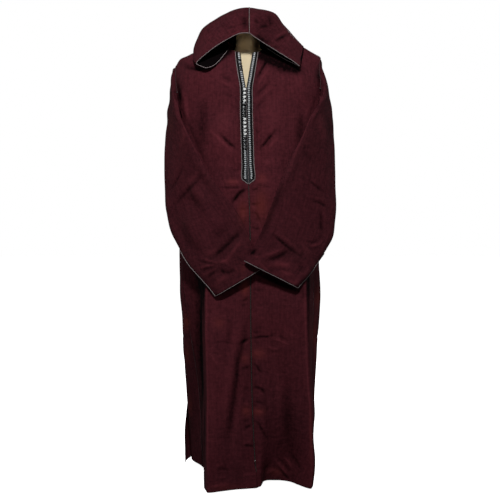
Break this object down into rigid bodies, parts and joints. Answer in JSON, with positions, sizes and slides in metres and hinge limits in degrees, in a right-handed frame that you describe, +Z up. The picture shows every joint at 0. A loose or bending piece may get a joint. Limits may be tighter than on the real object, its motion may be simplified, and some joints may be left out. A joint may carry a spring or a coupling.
{
  "type": "hooded djellaba on a limbless dress form",
  "caption": "Long hooded robe with wide folded sleeves and a knotted front placket, worn empty on a limbless dress form with a round base.",
  "frame": {"origin": "on the underside of the base plate, straight under the middle of the form's neck", "axes": "+Z up along the neck, the front of the robe towards -Y, the wearer's left sleeve towards +X"},
  "size_m": [0.55, 0.4164, 1.5354],
  "materials": {
    "cloth": "fine matt wool blend, deep burgundy",
    "piping": "satin cord, silver grey",
    "braid": "woven braid, silver grey",
    "black_cord": "satin, black",
    "white_cord": "satin cord, white",
    "underlay": "dark grey tape",
    "form_cover": "cream jersey",
    "form_wood": "satin varnish",
    "form_steel": "satin"
  },
  "bodies": {
    "root": {"armhole_trim_left": "piping", "armhole_trim_right": "piping", "back": "cloth", "cuff_piping_left": "piping", "cuff_piping_right": "piping", "form_base": "form_steel", "form_neck_cap": "form_wood", "form_pole": "form_steel", "form_torso": "form_cover", "front_left": "cloth", "front_right": "cloth", "front_seam_braid": "piping", "gore_left": "cloth", "gore_right": "cloth", "hood_left": "cloth", "hood_piping_left": "piping", "hood_piping_right": "piping", "hood_right": "cloth", "hood_seam_braid": "braid", "knot_01": "white_cord", "knot_02": "white_cord", "knot_03": "white_cord", "knot_04": "white_cord", "knot_05": "black_cord", "knot_06": "black_cord", "knot_07": "black_cord", "knot_08": "black_cord", "knot_09": "white_cord", "knot_10": "white_cord", "knot_11": "white_cord", "knot_12": "white_cord", "knot_13": "white_cord", "knot_14": "black_cord", "knot_15": "black_cord", "knot_16": "black_cord", "knot_17": "black_cord", "knot_18": "black_cord", "knot_19": "black_cord", "knot_20": "black_cord", "knot_21": "black_cord", "placket_band_left": "black_cord", "placket_band_right": "black_cord", "placket_braid_left": "braid", "placket_braid_right": "braid", "placket_piping_left": "piping", "placket_piping_right": "piping", "placket_underlay": "underlay", "side_seam_trim_left": "piping", "side_seam_trim_right": "piping", "sleeve_left": "cloth", "sleeve_right": "cloth", "sleeve_seam_piping_left": "piping", "sleeve_seam_piping_right": "piping"}
  },
  "joints": []
}
